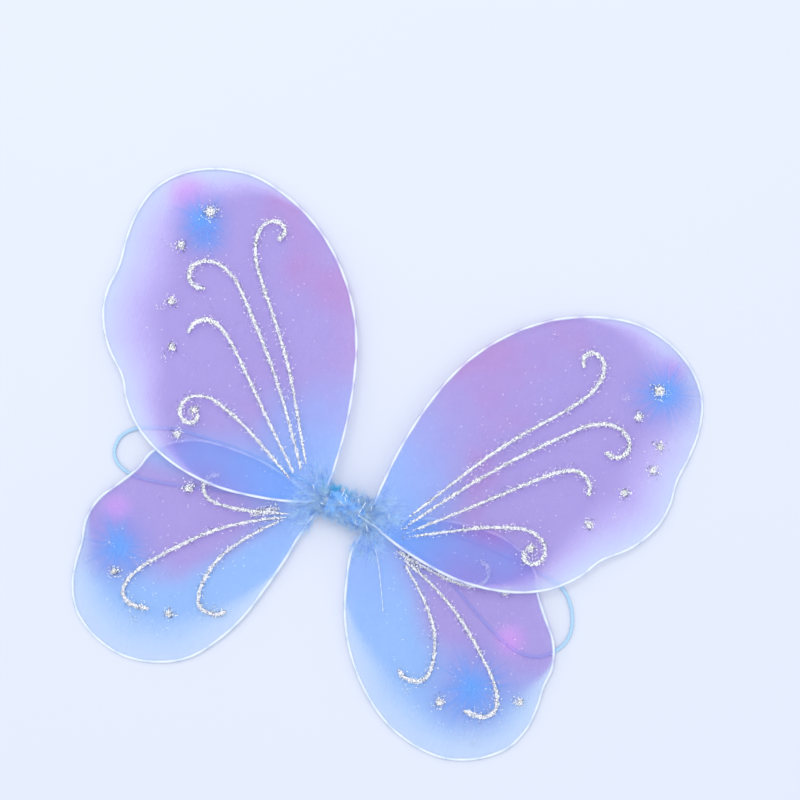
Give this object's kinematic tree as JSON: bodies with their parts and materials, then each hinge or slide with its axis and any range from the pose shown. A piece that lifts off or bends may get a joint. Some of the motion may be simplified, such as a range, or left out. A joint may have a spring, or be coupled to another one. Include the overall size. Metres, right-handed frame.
{
  "type": "fairy wings",
  "caption": "Child's dress-up butterfly wings: nylon stretched over wire loops, glitter swirls, a feather-trimmed centre bar and two elastic arm loops; each side folds forward.",
  "frame": {"origin": "middle of the centre bar's flat back, the face that rests on the wearer's back", "axes": "+X towards the wings on the right as seen from the decorated front, +Y towards the upper wings, +Z out of the decorated front; the part lies on its back on a surface at Z 0"},
  "size_m": [0.4871, 0.4014, 0.024],
  "materials": {
    "coated_wire": "white plastic coating, satin",
    "nylon_knit": "sheer two-layer nylon knit, tie-dyed lavender and sky blue",
    "glitter_glue": "clear glue full of silver glitter",
    "tape": "cloth tape, wound tight",
    "marabou": "sky-blue marabou down with white tinsel",
    "elastic": "round braided elastic",
    "bare_wire": "plain drawn wire"
  },
  "bodies": {
    "centre_bar": {"centre_tape_wrap": "tape", "twisted_wire_ends": "bare_wire", "feather_trim": "marabou", "left_strap": "elastic", "left_strap_upper_knot": "elastic", "left_strap_lower_knot": "elastic", "right_strap": "elastic", "right_strap_upper_knot": "elastic", "right_strap_lower_knot": "elastic"},
    "left_lower_wing": {"left_lower_wire": "coated_wire", "left_lower_cover": "nylon_knit", "left_lower_upper_swirl": "glitter_glue", "left_lower_outer_swirl": "glitter_glue", "left_lower_inner_swirl": "glitter_glue", "left_lower_glitter_dot_1": "glitter_glue", "left_lower_glitter_dot_2": "glitter_glue", "left_lower_glitter_dot_3": "glitter_glue"},
    "left_upper_wing": {"left_upper_wire": "coated_wire", "left_upper_cover": "nylon_knit", "left_upper_inner_swirl": "glitter_glue", "left_upper_middle_swirl": "glitter_glue", "left_upper_outer_swirl": "glitter_glue", "left_upper_spiral_swirl": "glitter_glue", "left_upper_glitter_dot_1": "glitter_glue", "left_upper_glitter_dot_2": "glitter_glue", "left_upper_glitter_dot_3": "glitter_glue", "left_upper_glitter_dot_4": "glitter_glue", "left_upper_glitter_dot_5": "glitter_glue", "left_upper_glitter_dot_6": "glitter_glue"},
    "right_lower_wing": {"right_lower_wire": "coated_wire", "right_lower_cover": "nylon_knit", "right_lower_upper_swirl": "glitter_glue", "right_lower_outer_swirl": "glitter_glue", "right_lower_inner_swirl": "glitter_glue", "right_lower_glitter_dot_1": "glitter_glue", "right_lower_glitter_dot_2": "glitter_glue", "right_lower_glitter_dot_3": "glitter_glue"},
    "right_upper_wing": {"right_upper_wire": "coated_wire", "right_upper_cover": "nylon_knit", "right_upper_inner_swirl": "glitter_glue", "right_upper_middle_swirl": "glitter_glue", "right_upper_outer_swirl": "glitter_glue", "right_upper_spiral_swirl": "glitter_glue", "right_upper_glitter_dot_1": "glitter_glue", "right_upper_glitter_dot_2": "glitter_glue", "right_upper_glitter_dot_3": "glitter_glue", "right_upper_glitter_dot_4": "glitter_glue", "right_upper_glitter_dot_5": "glitter_glue", "right_upper_glitter_dot_6": "glitter_glue", "right_upper_glitter_dot_7": "glitter_glue"}
  },
  "joints": [
    {"name": "left_side_fold", "type": "hinge", "parent": "centre_bar", "child": "left_lower_wing", "pos_m": [-0.02, 0, 0.014], "axis": [0, 1, 0], "range_deg": [0, 60]},
    {"name": "left_upper_lift", "type": "hinge", "parent": "left_lower_wing", "child": "left_upper_wing", "pos_m": [-0.02, 0, 0.0155], "axis": [0, 1, 0], "range_deg": [0, 30]},
    {"name": "right_side_fold", "type": "hinge", "parent": "centre_bar", "child": "right_lower_wing", "pos_m": [0.02, 0, 0.014], "axis": [0, -1, 0], "range_deg": [0, 60]},
    {"name": "right_upper_lift", "type": "hinge", "parent": "right_lower_wing", "child": "right_upper_wing", "pos_m": [0.02, 0, 0.0155], "axis": [0, -1, 0], "range_deg": [0, 30]}
  ]
}
